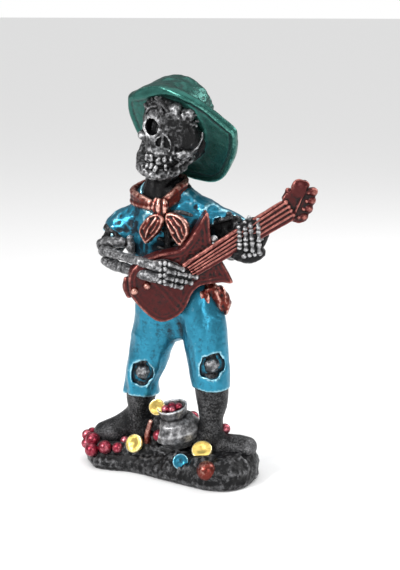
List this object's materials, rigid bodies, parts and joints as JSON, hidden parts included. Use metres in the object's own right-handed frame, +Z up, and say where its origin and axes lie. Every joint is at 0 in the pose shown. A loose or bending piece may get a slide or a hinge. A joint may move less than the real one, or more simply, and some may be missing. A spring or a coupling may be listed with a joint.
{
  "type": "skeleton guitarist figurine",
  "caption": "Cast resin ornament of a standing skeleton pirate playing a guitar on a rock base with treasure, hand painted in metallic colours.",
  "frame": {"origin": "middle of the footprint of the bounding box, at the underside of the rock base", "axes": "+Z up, the figure faces -Y, its left hand and the head of the guitar are on the +X side"},
  "size_m": [0.1224, 0.057, 0.2035],
  "materials": {
    "black_silver_paint": "black resin paint with silver rubbed over the raised places",
    "blue_metallic_paint": "glossy metallic blue with black in the folds",
    "green_metallic_paint": "glossy metallic green with black in the folds",
    "red_metallic_paint": "glossy copper red with black in the hollows",
    "magenta_bead_paint": "glossy metallic dark red",
    "gold_paint": "glossy metallic gold",
    "silver_paint": "glossy metallic silver with black in the hollows"
  },
  "bodies": {
    "root": {"figurine": "black_silver_paint"}
  },
  "joints": []
}
